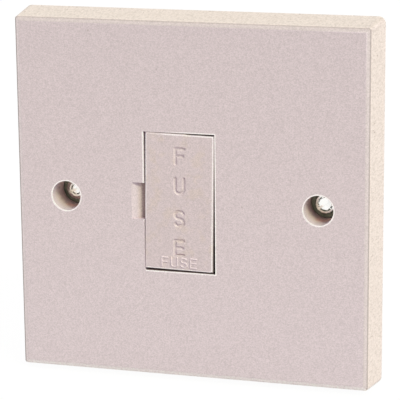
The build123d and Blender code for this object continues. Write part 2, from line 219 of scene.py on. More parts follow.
class ScrewCut(bpy.types.PropertyGroup):
    """Threads and slots of the screws."""

    pitch: length("Thread pitch", "Rise of one turn of a machine thread", 0.6)
    depth: length("Thread depth", "Depth of the thread's groove", 0.32)
    coarse_pitch: length("Coarse pitch", "Rise of one turn of a cover screw's thread", 1.1)
    slot: length("Slot", "Width of a fixing screw's slot", 0.5)
    slot_depth: length("Slot depth", "Depth of a fixing screw's slot", 0.8)
    left_turn: angle("Left slot", "Turn of the left fixing screw's slot", 24.0)
    right_turn: angle("Right slot", "Turn of the right fixing screw's slot", 38.0)


class Stage(bpy.types.PropertyGroup):
    """Camera, lights and floor."""

    azimuth: angle("Azimuth", "Camera's turn to the right of the front", 16.587)
    elevation: angle("Elevation", "Camera's height over the horizon", 13.529)
    roll: angle("Roll", "Camera's turn about its own axis", -0.545)
    distance: length("Distance", "Camera's distance from its target", 465.91)
    target: lengths("Target", "Point at the middle of the picture", 2.385, -10.4, 0.879)
    lens: bpy.props.FloatProperty(
        name="Lens", description="Focal length on a 36 mm sensor", unit="CAMERA", default=183.23)
    key: amount("Key light", "Strength of the soft key light", 1.95)
    key_colour: colour("Key colour", "Warm tint of the key light", (0.91, 1.0, 0.65))
    key_width: angle("Key width", "Width of the key light as the object sees it", 18.0)
    key_way: bpy.props.FloatVectorProperty(
        name="Key direction", description="Way that the key light shines", subtype="DIRECTION",
        size=3, default=(-0.6, 0.55, -0.58))
    fill: amount("Front fill", "Brightness of the tent straight in front of the plate", 0.12)
    side_fill: amount("Side fill", "Brightness of the tent at its sides, top and foot", 1.23)
    tilt: amount("Tilt", "How much brighter the tent is at its right than straight ahead", 0.3)
    fill_colour: colour("Fill colour", "Tint of the tent round the object", (1.0, 1.0, 1.0))
    floor: share("Floor", "Brightness of the floor before it is lit", 0.968)


GROUPS = {
    "spur_plastic": PlasticLook,
    "spur_edges": EdgeLook,
    "spur_metal": MetalLook,
    "spur_lettering": Lettering,
    "spur_screw": ScrewCut,
    "spur_stage": Stage,
}


# Materials

def plug(tree, value, socket):
    """Links a socket to another one, or puts a constant on it."""
    if isinstance(value, bpy.types.NodeSocket):
        tree.links.new(value, socket)
    else:
        socket.default_value = value


def add_node(tree, kind, inputs=None, **settings):
    """New node with its settings, constants and incoming links."""
    node = tree.nodes.new(kind)
    for key, value in settings.items():
        setattr(node, key, value)
    for socket, value in (inputs or {}).items():
        plug(tree, value, node.inputs[socket])
    return node


def compute(tree, operation, *values):
    """Result of one operation on values."""
    return add_node(tree, "ShaderNodeMath", dict(enumerate(values)), operation=operation).outputs["Value"]


class Finish:
    """A material and short-hand for its nodes. Patterns are laid out in Object coordinates."""

    def __init__(self, name):
        self.material = bpy.data.materials.new(name)
        self.material.use_nodes = True
        self.tree = self.material.node_tree
        self.shader = self.tree.nodes["Principled BSDF"]
        self.place = self.add("ShaderNodeTexCoord").outputs["Object"]

    def add(self, kind, inputs=None, **settings):
        """New node in this material."""
        return add_node(self.tree, kind, inputs, **settings)

    def scaled(self, stretch):
        """Coordinates scaled along the axes; a small scale draws a pattern out that way."""
        return self.add("ShaderNodeMapping", {"Vector": self.place, "Scale": stretch}).outputs["Vector"]

    def noise(self, grain, detail=3.0, stretch=EVEN):
        """Cloud whose lumps are about one grain across."""
        return self.add("ShaderNodeTexNoise", {
            "Vector": self.scaled(stretch), "Scale": 1.0 / grain, "Detail": detail}).outputs["Fac"]

    def specks(self, spacing, part, size, stretch=EVEN):
        """Mask of small specks in a part of the cells, which lie about one spacing apart."""
        cells = self.add("ShaderNodeTexVoronoi", {
            "Vector": self.scaled(stretch), "Scale": 1.0 / spacing}).outputs
        chance = self.add("ShaderNodeSeparateColor", {"Color": cells["Color"]}).outputs["Red"]
        spots = self.fall(cells["Distance"], size * 0.4, size)
        return self.times(self.value("LESS_THAN", chance, part), spots)

    def grains(self, spacing):
        """Random level of grains about one spacing apart, which run softly into each other."""
        cells = self.add("ShaderNodeTexVoronoi", {
            "Vector": self.place, "Scale": 1.0 / spacing, "Smoothness": 0.6}, feature="SMOOTH_F1")
        return self.add("ShaderNodeSeparateColor", {"Color": cells.outputs["Color"]}).outputs["Red"]

    def spread(self, value, low, high, start=0.3, end=0.7):
        """A value's range from start to end mapped to low to high."""
        limits = {"From Min": start, "From Max": end, "To Min": low, "To Max": high}
        return self.add("ShaderNodeMapRange", {"Value": value, **limits}).outputs["Result"]

    def rise(self, value, start, end):
        """0 up to the start of a range, and 1 from its end on."""
        return self.spread(value, 0.0, 1.0, start, end)

    def fall(self, value, start, end, top=1.0):
        """A top level up to the start of a range, and 0 from its end on."""
        return self.spread(value, top, 0.0, start, end)

    def between(self, value, low, high, soft):
        """1 where a value lies between two limits, with soft ends, else 0."""
        return self.times(self.rise(value, low - soft, low), self.fall(value, high, high + soft))

    def value(self, operation, *values):
        """Result of one operation here."""
        return compute(self.tree, operation, *values)

    def times(self, first, *others):
        """Product of values."""
        for other in others:
            first = self.value("MULTIPLY", first, other)
        return first

    def plus(self, first, second):
        """Sum of two values."""
        return self.value("ADD", first, second)

    def minus(self, first, second):
        """Difference of two values."""
        return self.value("SUBTRACT", first, second)

    def most(self, first, second):
        """The larger of two values."""
        return self.value("MAXIMUM", first, second)

    def axes(self, centre=FACE, lean=0.0):
        """Coordinates about a centre, with a lean about Y taken back."""
        place = self.add("ShaderNodeMapping", {
            "Vector": self.place, "Location": centre, "Rotation": (0.0, lean, 0.0)}, vector_type="TEXTURE")
        return self.add("ShaderNodeSeparateXYZ", {"Vector": place.outputs["Vector"]}).outputs

    def outside_box(self, centre, width, height, lean=0.0):
        """Distance outwards from the sides of an upright box, seen from the front."""
        x, _, z = self.axes(centre, lean)
        across = self.minus(self.value("ABSOLUTE", x), width / 2)
        return self.most(across, self.minus(self.value("ABSOLUTE", z), height / 2))

    def outside_ring(self, centre, radius):
        """Distance outwards from a circle, seen from the front."""
        x, _, z = self.axes(centre)
        square = self.plus(self.times(x, x), self.times(z, z))
        return self.minus(self.value("POWER", square, 0.5), radius)

    def blend(self, factor, first, second, mode="MIX"):
        """Two colours mixed by a factor."""
        node = self.add("ShaderNodeMix", data_type="RGBA", blend_type=mode, clamp_result=True)
        for socket, value in (("Factor_Float", factor), ("A_Color", first), ("B_Color", second)):
            plug(self.tree, value, next(s for s in node.inputs if s.identifier == socket))
        return next(s for s in node.outputs if s.identifier == "Result_Color")

    def tint(self, tone, mask, factor):
        """A colour multiplied by a factor where a mask is 1."""
        return self.blend(mask, tone, (*factor, 1.0), "MULTIPLY")

    def set(self, **sockets):
        """Puts constants or links on the shader's own sockets."""
        for key, value in sockets.items():
            plug(self.tree, value, self.shader.inputs[key.replace("_", " ")])

    def bump(self, height, depth):
        """Surface relief of a given depth."""
        self.set(Normal=self.add("ShaderNodeBump", {
            "Height": height, "Distance": depth, "Strength": 1.0}).outputs["Normal"])


def shade(base, factor):
    """A colour made darker or lighter by a factor, with full alpha."""
    return tuple(min(1.0, part * factor) for part in base) + (1.0,)


def moulded_plastic(name, base, marks=None):
    """Thermoset moulding: grained and cloudy, with a few specks, a faint skin and a piece's marks, painted
    light and shade among them.

    Marks is a function of the finish that gives pairs of a mask and the factor on the colour under it."""
    look = bpy.context.scene.spur_plastic
    finish = Finish(name)
    fine = finish.grains(0.19 * MM)
    broad = finish.spread(finish.noise(7.0 * MM), 0.0, 1.0)
    cloud = finish.plus(finish.times(fine, 0.96), finish.times(broad, 0.04))
    tone = finish.blend(cloud, shade(base, 1.0 - look.mottle / 2), shade(base, 1.0 + look.mottle / 2))
    stains = finish.rise(finish.noise(1.3 * MM, 2.0), 0.55, 0.75)
    tone = finish.tint(tone, stains, (0.993, 0.992, 0.985))
    tone = finish.tint(tone, finish.specks(4.0 * MM, 0.16, 0.055), (0.55, 0.5, 0.48))
    for mask, factor in marks(finish) if marks else ():
        tone = finish.tint(tone, mask, factor)
    polish = finish.spread(fine, look.gloss - 0.05, look.gloss + 0.07, 0.0, 1.0)
    finish.set(Base_Color=tone, Roughness=polish, IOR=1.5)
    finish.bump(finish.noise(0.35 * MM), 0.012 * MM)
    return finish.material


def highlight_factor(base):
    """Factor that takes a body colour to the colour of the painted highlights on the rims."""
    return tuple(rim / body for rim, body in zip(bpy.context.scene.spur_edges.pale, base))


def opening_middle():
    """Middle of the carrier's opening, in the plane of the face."""
    return (middle("fuse_carrier").x, FRONT_Y, -bpy.context.scene.spur_edges.drop)


def face_reach():
    """Distance from the plate's middle to the sides of its flat face."""
    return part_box("front_plate")[1].x - bpy.context.scene.spur_edges.band


def plate_marks(finish):
    """Marks of the plate, most of them painted light and shade: its opening, its wells, its edges and its
    back.
    """
    edges = bpy.context.scene.spur_edges
    pale = highlight_factor(bpy.context.scene.spur_plastic.plate)
    rims = opening_marks(finish, edges, pale) + well_marks(finish, edges, pale)
    return rims + outline_marks(finish, edges.fall) + back_marks(finish, edges)


def opening_marks(finish, edges, pale):
    """Painted highlight on the rim of the carrier's opening, painted light on its left wall, painted shade
    on its other walls, and a tan painted shade in the deep part of the notch beside it.
    """
    centre = opening_middle()
    half_width, half_height = (size / 2 for size in edges.opening)
    x, depth, z = finish.axes(centre)
    beyond = finish.outside_box(centre, *edges.opening)
    left = finish.fall(x, 0.1 * MM - half_width, 0.2 * MM - half_width)
    low_left = finish.times(left, finish.fall(z, -5.0 * MM, -4.0 * MM))
    top = finish.rise(z, half_height - 0.1 * MM, half_height)
    top_left = finish.times(top, finish.fall(x, -4.0 * MM, 1.0 * MM, 0.85))
    kept = finish.minus(1.0, finish.most(low_left, top_left))
    front = finish.fall(depth, 0.1 * MM, 0.2 * MM)
    # painted highlight along the opening's front edge, left out at its lower left and top left
    rim = finish.times(front, finish.between(beyond, 0.0, edges.rim, 0.06 * MM), kept)
    wall = finish.between(depth, 0.25 * MM, 3.0 * MM, 0.2 * MM)
    wall = finish.times(wall, finish.fall(beyond, 0.01 * MM, 0.03 * MM))
    # painted light on the opening's left wall
    lit = finish.times(wall, left)
    notch_middle = (centre[0] - half_width - edges.notch[0] / 2, FRONT_Y, centre[2])
    # tan painted shade where the notch runs deep beside the carrier
    notch = finish.fall(finish.outside_box(notch_middle, *edges.notch), 0.0, 0.02 * MM)
    notch = finish.times(notch, finish.rise(depth, 0.7 * MM, 1.6 * MM))
    # painted shade on the opening's other walls, in the gap round the carrier
    darkening = finish.minus(wall, lit)
    return [(rim, pale), (lit, pale), (darkening, (0.5, 0.45, 0.4)), (notch, (0.98, 0.94, 0.8))]


def well_marks(finish, edges, pale):
    """Painted highlights on the mouths of the screw wells, painted light on their lower-left walls near
    the mouth, a painted shadow line inside the mouth elsewhere, walls whose painted tone of shade turns
    brown with depth, and a redder band deep at the foot.
    """
    _, depth, _ = finish.axes()
    front = finish.fall(depth, 0.15 * MM, 0.3 * MM)
    deep = finish.rise(depth, 1.5 * MM, 5.0 * MM)
    near = finish.fall(depth, 2.0 * MM, 7.0 * MM)
    lip = finish.between(depth, 0.3 * MM, 0.8 * MM, 0.1 * MM)
    reddened = finish.between(depth, 4.0 * MM, 5.8 * MM, 0.6 * MM)
    marks = []
    for side in SIDES:
        centre = middle(f"fixing_screw_{side}")
        x, _, z = finish.axes(centre)
        ring = finish.outside_ring(centre, edges.well)
        mouth = finish.between(ring, -0.1 * MM, edges.rim, 0.06 * MM)
        wall = finish.between(ring, -0.4 * MM, 0.01 * MM, 0.02 * MM)
        low_left = finish.fall(finish.plus(x, z), -3.5 * MM, 1.0 * MM)
        foot = finish.fall(z, -3.3 * MM, -2.9 * MM)
        marks += [
            # painted tone of shade: the walls turn brown with depth
            (finish.times(wall, deep), (1.12, 1.08, 0.9)),
            # painted light on the lower-left walls near the mouth
            (finish.times(wall, low_left, near), (1.09, 1.12, 1.08)),
            # painted shadow: a dark line just inside the mouth, away from the lower left
            (finish.times(wall, finish.minus(1.0, low_left), lip), (0.6, 0.56, 0.54)),
            # redder band deep at the foot of the wall
            (finish.times(wall, foot, reddened), (1.2, 1.0, 0.92)),
            # painted highlight on the mouth
            (finish.times(front, mouth), pale),
        ]
    return marks


def outline_marks(finish, fall):
    """Painted light and shade round the face: the band painted lighter or darker by edge, a painted shade
    line at the shoulder, painted highlights and shade at the edges and corners, grained sides in the key
    light's painted tint, and a face painted paler downwards.
    """
    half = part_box("front_plate")[1].z
    reach = face_reach()
    x, depth, z = finish.axes()
    wide = finish.value("ABSOLUTE", x)
    tall = finish.value("ABSOLUTE", z)
    beyond = finish.minus(finish.most(wide, tall), reach)
    outer = finish.rise(beyond, -0.1 * MM, 0.0)
    flat = finish.minus(1.0, outer)
    band = finish.times(finish.between(depth, 0.02 * MM, fall, 0.02 * MM), outer)
    line = finish.times(finish.between(depth, fall - 0.1 * MM, fall + 0.06 * MM, 0.04 * MM), outer)
    glint = finish.times(finish.between(depth, fall + 0.15 * MM, fall + 0.8 * MM, 0.15 * MM), outer)
    sides = finish.times(finish.rise(depth, fall, fall + 0.1 * MM), outer)
    grains = finish.rise(finish.noise(0.45 * MM, 2.0, (1.0, 0.35, 1.0)), 0.45, 0.65)
    pits = finish.specks(1.0 * MM, 0.4, 0.18, (1.0, 0.3, 1.0))
    inner = finish.between(beyond, 0.0, 0.15 * MM, 0.1 * MM)
    ridge = finish.between(beyond, -0.05 * MM, 0.2 * MM, 0.08 * MM)
    diagonal = finish.minus(finish.plus(x, z), 2.0 * reach)
    mitre = finish.between(finish.minus(x, z), -0.6 * MM, 0.6 * MM, 1.2 * MM)
    mitre = finish.times(mitre, finish.rise(diagonal, 0.0, 1.0 * MM))
    marks = [
        # painted light: the face darker in its upper half and paler downwards in its lower half
        (finish.times(finish.rise(z, 0.0, half), flat), (0.97, 0.97, 0.97)),
        (finish.times(finish.fall(z, -half, 0.0), flat), (1.035, 1.045, 1.055)),
        (finish.times(sides, grains), (0.86, 0.85, 0.835)),
        (finish.times(sides, pits), (0.64, 0.59, 0.57)),
        # painted shade along the face's edge, on the band
        (finish.times(inner, band), (0.93, 0.93, 0.93)),
        # painted highlight: a glint on the sides just behind the shoulder
        (glint, (1.05, 1.05, 1.05)),
        # painted highlight along the face's edge near the top right corner
        (finish.times(ridge, finish.rise(diagonal, -13.0 * MM, 0.0)), (1.17, 1.17, 1.2)),
        # painted shade on the top right corner of the sides
        (finish.times(sides, mitre), (0.9, 0.89, 0.9)),
    ]
    ahead = {
        "left": finish.minus(finish.times(x, -1.0), tall),
        "foot": finish.minus(finish.times(z, -1.0), wide),
        "right": finish.minus(x, tall),
        "top": finish.minus(z, wide),
    }
    # painted light and shade of each edge: band, shoulder line and side
    for edge, tones in EDGE_LIGHT_AND_SHADE.items():
        here = finish.rise(ahead[edge], -0.3 * MM, 0.3 * MM)
        marks += [(finish.times(mask, here), tone) for mask, tone in zip((band, line, sides), tones)]
    return marks


def back_marks(finish, edges):
    """Painted warmth of the key light on the plate's hollow, which the key doesn't reach, clear of the
    opening, the wells and the sides.
    """
    _, depth, _ = finish.axes()
    hollow = finish.rise(depth, 2.3 * MM, 2.6 * MM)
    clear = [finish.outside_box(opening_middle(), *edges.opening)]
    clear += [finish.outside_ring(middle(f"fixing_screw_{side}"), edges.well) for side in SIDES]
    for distance in clear:
        hollow = finish.times(hollow, finish.rise(distance, 0.3 * MM, 0.6 * MM))
    side = 2.0 * face_reach()
    within = finish.fall(finish.outside_box(FACE, side, side), -0.1 * MM, 0.0)
    return [(finish.times(hollow, within), PAINTED_KEY_WARMTH)]


def carrier_marks(finish):
    """Tan stains, a painted highlight on the rim, painted shade along the right and top edges and on the
    sides in the gap, painted light on the letters, and the key light's painted warmth on the back.
    """
    edges = bpy.context.scene.spur_edges
    lean = bpy.context.scene.spur_lettering.lean
    centre = middle("fuse_carrier")
    centre.y = FRONT_Y
    half_width, half_height = (size / 2 for size in edges.carrier)
    x, depth, z = finish.axes(centre, lean)
    within = finish.outside_box(centre, *edges.carrier, lean)
    right = finish.rise(x, half_width - 0.6 * MM, half_width - 0.5 * MM)
    top = finish.rise(z, half_height - 0.6 * MM, half_height - 0.5 * MM)
    left = finish.fall(x, 0.4 * MM - half_width, 0.6 * MM - half_width)
    inward = finish.plus(within, finish.times(finish.most(right, top), 0.17 * MM))
    front = finish.fall(depth, 0.2 * MM, 0.25 * MM)
    bare = finish.most(finish.times(left, finish.fall(z, -5.0 * MM, -4.0 * MM, 0.8)),
                       finish.times(top, finish.fall(x, -5.0 * MM, -3.0 * MM, 0.6)))
    rim = finish.times(front, finish.between(inward, -edges.rim, 0.0, 0.04 * MM), finish.minus(1.0, bare))
    # painted shade along the right edge, fading upwards, and along the top edge towards its right
    shaded_edges = finish.most(finish.times(right, finish.spread(z, 1.0, 0.3, -12.0 * MM, 12.0 * MM)),
                        finish.times(top, finish.spread(x, 0.1, 1.0, 1.2 * MM, 2.0 * MM)))
    # painted shade just outside the front edge of the carrier's face, along those edges
    gap_front_shade = finish.times(front, finish.rise(inward, 0.02 * MM, 0.06 * MM), shaded_edges)
    # painted shade on the carrier's sides in the gap round it
    edge = finish.between(depth, 0.3 * MM, 1.6 * MM, 0.15 * MM)
    edge = finish.times(edge, finish.rise(within, -0.1 * MM, -0.05 * MM))
    inner = finish.fall(within, -0.6 * MM, -0.4 * MM)
    return [
        # painted light: the key light's warmth on the carrier's back, which the key doesn't reach
        (finish.rise(depth, 2.0 * MM, 2.5 * MM), PAINTED_KEY_WARMTH),
        (finish.rise(finish.noise(3.4 * MM, 2.0), 0.52, 0.66), (1.0, 0.99, 0.93)),
        # painted highlight on the rim of the carrier's face
        (rim, highlight_factor(bpy.context.scene.spur_plastic.carrier)),
        # painted shade in the gap: along the front edge, on the sides, and darker at the right and top
        (gap_front_shade, (0.35, 0.34, 0.33)),
        (edge, (0.62, 0.57, 0.52)),
        (finish.times(edge, shaded_edges), (0.35, 0.35, 0.35)),
        # painted light in the engraved grooves
        (finish.times(inner, finish.between(depth, 0.06 * MM, 0.6 * MM, 0.05 * MM)), (1.02, 1.04, 1.02)),
        # painted highlight on the tops of the raised letters
        (finish.times(inner, finish.fall(depth, -0.08 * MM, -0.03 * MM)), (1.08, 1.1, 1.1)),
    ]


def turned_metal(name, base, roughness, stain=0.25, stretch=EVEN, relief=0.004 * MM, darkening=None):
    """Plated or bare metal: uneven polish, light stains and fine tool marks drawn out along one axis.

    The last argument is a range of Y in which the colour is darkened in patches."""
    finish = Finish(name)
    stains = finish.rise(finish.noise(1.6 * MM, 4.0), 0.42, 0.72)
    tone = finish.blend(stains, shade(base, 1.0), shade(base, 1.0 - stain))
    if darkening:
        y = finish.axes((0.0, 0.0, 0.0))[1]
        patches = finish.rise(finish.noise(0.4 * MM, 2.0), 0.4, 0.5)
        dark_patches = finish.times(finish.between(y, *darkening, 0.02 * MM), patches)
        tone = finish.tint(tone, dark_patches, (0.1, 0.1, 0.08))
    marks = finish.noise(0.16 * MM, 2.0, stretch)
    polish = finish.spread(marks, roughness * 0.75, roughness * 1.35)
    finish.set(Base_Color=tone, Metallic=1.0, Roughness=polish)
    finish.bump(marks, relief)
    return finish.material


def fired_ceramic(name, base):
    """Unglazed ceramic with fine grey grains."""
    finish = Finish(name)
    grains = finish.rise(finish.noise(0.25 * MM, 4.0), 0.4, 0.7)
    tone = finish.blend(grains, shade(base, 1.0), shade(base, 0.88))
    finish.set(Base_Color=tone, Roughness=finish.spread(grains, 0.62, 0.8, 0.0, 1.0))
    finish.bump(grains, 0.006 * MM)
    return finish.material


# Meshes and pieces

def dress(node, material):
    """Gives a carried-over node its finish."""
    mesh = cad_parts[node].data
    mesh.materials.clear()
    mesh.materials.append(material)


def grid_faces(rows, columns, wrap):
    """Quads of a grid of points, as indices; wrap closes each row into a ring."""
    index = np.arange(rows * columns).reshape(rows, columns)
    if wrap:
        index = np.hstack([index, index[:, :1]])
    quads = [index[:-1, :-1], index[:-1, 1:], index[1:, 1:], index[1:, :-1]]
    return np.stack(quads, axis=-1).reshape(-1, 4)


def new_object(name, data):
    """Object in the scene, at the origin."""
    item = bpy.data.objects.new(name, data)
    bpy.context.scene.collection.objects.link(item)
    return item


def place_piece(name, mesh):
    """Object of a closed mesh, with doubles merged and the faces turned outwards."""
    shape = bmesh.new()
    shape.from_mesh(mesh)
    bmesh.ops.remove_doubles(shape, verts=shape.verts, dist=1e-7)
    bmesh.ops.recalc_face_normals(shape, faces=shape.faces)
    shape.to_mesh(mesh)
    shape.free()
    return new_object(name, mesh)


def new_piece(name, points, faces):
    """Piece from points and faces."""
    mesh = bpy.data.meshes.new(name)
    mesh.from_pydata(points.tolist(), [], faces)
    return place_piece(name, mesh)


def copy_of_node(node, name):
    """Merged copy of a node's mesh as a piece of its own."""
    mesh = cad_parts[node].data.copy()
    mesh.name = name
    if mesh.has_custom_normals:
        mesh.attributes.remove(mesh.attributes["custom_normal"])
    return place_piece(name, mesh)


def carve(piece, tool, operation):
    """Boolean of a piece with a tool, which is then removed."""
    change = piece.modifiers.new("carve", "BOOLEAN")
    change.operation = operation
    change.solver = "EXACT"
    change.object = tool
    bpy.context.view_layer.update()
    result = bpy.data.meshes.new_from_object(piece.evaluated_get(bpy.context.evaluated_depsgraph_get()))
    if not result.polygons:
        raise RuntimeError(f"nothing is left of {piece.name} after {tool.name}")
    piece.modifiers.clear()
    piece.data = result
    bpy.data.objects.remove(tool)


def finish_piece(piece, material, body, node):
    """Gives a new piece its shading and body, and one finish to it and the node that it replaces."""
    dress(node, material)
    mesh = piece.data
    mesh.polygons.foreach_set("use_smooth", np.ones(len(mesh.polygons), dtype=bool))
    mesh.set_sharp_from_angle(angle=SHARP_EDGE)
    mesh.materials.clear()
    mesh.materials.append(material)
    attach(piece, body)
    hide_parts(node)


# Lettering: each letter is a set of centre lines in a box from -1 to 1 both ways

def letter_lines(letter):
    """Centre lines of a plain letter as rows of points; curves are arcs of ellipses."""
    turn = np.linspace(0.0, 1.0, 25)
    if letter == "F":
        return [np.array([(-1, -1), (-1, 1), (1, 1)]), np.array([(-1, 0.02), (0.72, 0.02)])]
    if letter == "E":
        return [np.array([(1, 1), (-1, 1), (-1, -1), (1, -1)]), np.array([(-1, 0.02), (0.8, 0.02)])]
    if letter == "U":
        bend = np.pi * (1 + turn)
        bowl = np.stack([np.cos(bend), -0.42 + 0.58 * np.sin(bend)], axis=1)
        return [np.vstack([[(-1, 1)], bowl, [(1, 1)]])]
    upper = np.radians(25 + 245 * turn)
    lower = np.radians(90 - 245 * turn)
    top = np.stack([np.cos(upper), 0.5 + 0.5 * np.sin(upper)], axis=1)
    base = np.stack([np.cos(lower), -0.5 + 0.5 * np.sin(lower)], axis=1)
    return [np.vstack([top, base])]


def placed_word(width, height, places):
    """Centre lines of the word's letters, scaled to a size and moved to their places."""
    return [line * (width / 2, height / 2) + place
            for letter, place in zip(WORD, places) for line in letter_lines(letter)]


def distance_to_lines(points, lines):
    """Distance from each point to the nearest of the straight runs of the lines."""
    starts = np.vstack([line[:-1] for line in lines])
    runs = np.vstack([line[1:] - line[:-1] for line in lines])
    nearest = np.full(len(points), np.inf)
    for start, run in zip(starts, runs):
        offset = points - start
        along = np.clip(offset @ run / max(run @ run, 1e-18), 0.0, 1.0)
        nearest = np.minimum(nearest, np.linalg.norm(offset - along[:, None] * run, axis=1))
    return nearest


def word_relief(lines, stroke, rise, low, high, step):
    """Grid over a rectangle and its height, rise * (1 - (2 d / stroke)^2) at a distance d from a line."""
    columns, rows = (int(round((end - start) / step)) + 1 for start, end in zip(low, high))
    x, z = np.meshgrid(np.linspace(low[0], high[0], columns), np.linspace(low[1], high[1], rows))
    distance = distance_to_lines(np.stack([x.ravel(), z.ravel()], axis=1), lines).reshape(x.shape)
    height = rise * np.clip(1.0 - (2.0 * distance / stroke) ** 2, -0.6, None)
    return x, z, height


def relief_tool(name, x, z, face_y, back_y):
    """Closed slab between a relief and a flat back, leaned about the carrier's middle."""
    lean = bpy.context.scene.spur_lettering.lean
    centre = middle("fuse_carrier")
    rows, columns = x.shape
    across = x * math.cos(lean) + z * math.sin(lean)
    up = z * math.cos(lean) - x * math.sin(lean)
    front = np.stack([across + centre.x, face_y, up + centre.z], axis=-1).reshape(-1, 3)
    back = front.copy()
    back[:, 1] = back_y
    faces = grid_faces(rows, columns, False)
    index = np.arange(rows * columns).reshape(rows, columns)
    edge = np.concatenate([index[0, :-1], index[:-1, -1], index[-1, :0:-1], index[:0:-1, 0]])
    after = np.roll(edge, -1)
    shift = rows * columns
    walls = np.stack([edge, edge + shift, after + shift, after], axis=1)
    faces = np.vstack([faces, faces[:, ::-1] + shift, walls])
    return new_piece(name, np.vstack([front, back]), faces.tolist())


def engraving_tool(sizes):
    """Tool for the word that runs down the carrier's face, one letter above the next."""
    outer, inner = sizes.middle_pitch / 2 + sizes.pitch, sizes.middle_pitch / 2
    places = [(0.02 * MM, row) for row in (outer, inner, -inner, -outer)]
    lines = placed_word(sizes.width - sizes.stroke, sizes.height - sizes.stroke, places)
    reach = 1.5 * sizes.pitch + sizes.height * 0.7
    x, z, depth = word_relief(lines, sizes.stroke, sizes.depth, (-0.8 * sizes.width, -reach),
                              (0.9 * sizes.width, reach), 0.055 * MM)
    return relief_tool("engraving", x, z, FRONT_Y + depth, FRONT_Y - 1.0 * MM)


def raised_word(sizes):
    """The word in small raised letters along the carrier's foot, with its root in the carrier."""
    stroke = sizes.stroke * sizes.small * 0.8
    places = [((place - 1.5) * sizes.small_pitch, -sizes.small_drop) for place in range(len(WORD))]
    height = sizes.height * sizes.small
    lines = placed_word(sizes.width * sizes.small * 1.1 - stroke, height - stroke, places)
    reach = 1.5 * sizes.small_pitch + sizes.width
    half = height * 0.7
    x, z, rise = word_relief(lines, stroke, sizes.small_rise, (-reach, -sizes.small_drop - half),
                             (reach, half - sizes.small_drop), 0.045 * MM)
    return relief_tool("raised_word", x, z, FRONT_Y - rise, FRONT_Y + 0.4 * MM)


def lettered_carrier():
    """The carrier with a word engraved down its face and the same word raised small along its foot."""
    sizes = bpy.context.scene.spur_lettering
    carrier = copy_of_node("fuse_carrier", "lettered_carrier")
    carve(carrier, engraving_tool(sizes), "DIFFERENCE")
    carve(carrier, raised_word(sizes), "UNION")
    return carrier


# Screws: a profile turned about the screw's axis, with a thread that climbs as it goes round

def threaded_run(start, end, radius, depth, pitch, columns, samples=6):
    """Rings of a thread: radius - depth * |2 t - 1|, t the place in the pitch, shifted round the turn."""
    count = int(round((end - start) / pitch * samples)) + 1
    along = np.linspace(start, end, count)[:, None]
    turn = np.linspace(0.0, 2.0 * np.pi, columns, endpoint=False)[None, :]
    place = np.mod(along / pitch - turn / (2.0 * np.pi), 1.0)
    groove = depth * np.abs(2.0 * place - 1.0)
    fade = np.clip(np.minimum(along - start, end - along) / pitch, 0.0, 1.0)
    return np.broadcast_to(along, place.shape), radius - depth * (1.0 - fade) - groove * fade


def turned_screw(name, profile, shank, pitch, top, tip, facing, columns):
    """Screw from a profile of (distance along the axis, radius), a threaded shank and a flat tip.

    Distances run from the head's top towards the tip, along facing times Y."""
    head = np.array(profile)
    depth = bpy.context.scene.spur_screw.depth
    along, wall = threaded_run(head[-1, 0] + THREAD_GAP, tip, shank, depth, pitch, columns)
    along = np.vstack([np.repeat(head[1:, :1], columns, axis=1), along])
    wall = np.vstack([np.repeat(head[1:, 1:], columns, axis=1), wall])
    turn = np.linspace(0.0, 2.0 * np.pi, columns, endpoint=False)
    rings = np.stack([top.x + wall * np.cos(turn), top.y + facing * along,
                      top.z + wall * np.sin(turn)], axis=-1).reshape(-1, 3)
    poles = np.array([[top.x, top.y + facing * distance, top.z] for distance in (head[0, 0], tip)])
    rows = len(wall)
    ring = np.arange(columns)
    after = np.roll(ring, -1)
    last = (rows - 1) * columns
    pole = np.full(columns, rows * columns)
    fans = np.vstack([np.stack([pole, ring, after], axis=1),
                      np.stack([pole + 1, after + last, ring + last], axis=1)])
    faces = grid_faces(rows, columns, True).tolist() + fans.tolist()
    return new_piece(name, np.vstack([rings, poles]), faces)


def bar_tool(name, centre, half, turn):
    """Straight bar for a slot or a recess, turned about Y."""
    corners = np.array([(x, y, z) for x in (-1, 1) for y in (-1, 1) for z in (-1, 1)], float) * half
    across = corners[:, 0] * math.cos(turn) - corners[:, 2] * math.sin(turn)
    up = corners[:, 0] * math.sin(turn) + corners[:, 2] * math.cos(turn)
    points = np.stack([across, corners[:, 1], up], axis=1) + np.array(centre)
    faces = [(0, 1, 3, 2), (4, 6, 7, 5), (0, 4, 5, 1), (2, 3, 7, 6), (0, 2, 6, 4), (1, 5, 7, 3)]
    return new_piece(name, points, faces)


def dome(rim, radius, count=9):
    """Profile of a domed top: an arc of a circle from the axis down to the rim."""
    ball = (radius**2 + rim**2) / (2.0 * rim)
    out = np.linspace(0.0, radius, count)
    return np.stack([ball - np.sqrt(ball**2 - out**2), out], axis=1).tolist()


def screw_place(node, end):
    """Top of a screw's axis, its head's radius and its length; end is 0 for a top at -Y, else 1."""
    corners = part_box(node)
    top = middle(node)
    top.y = corners[end].y
    across = corners[1] - corners[0]
    return top, across.x / 2, across.y


def fixing_screw(side, turn):
    """Long raised-head screw of one well, with its neck, thread and slot."""
    sizes = bpy.context.scene.spur_screw
    top, head, tip = screw_place(f"fixing_screw_{side}", 0)
    seat, eyelet_end = (corner.y - top.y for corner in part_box(f"fixing_eyelet_{side}"))
    profile = [(drop * MM, radius * MM) for drop, radius in HEAD_RINGS[side]]
    profile += [(HEAD_SIDE, head), (seat - 0.06 * MM, head), (seat, head - 0.08 * MM)]
    profile += [(seat, FIXING_NECK), (eyelet_end, FIXING_NECK)]
    screw = turned_screw(f"threaded_screw_{side}", profile, MACHINE_SHANK, sizes.pitch, top, tip, 1.0, 40)
    carve(screw, bar_tool("slot", top, (head * 1.3, sizes.slot_depth, sizes.slot / 2), turn), "DIFFERENCE")
    return screw


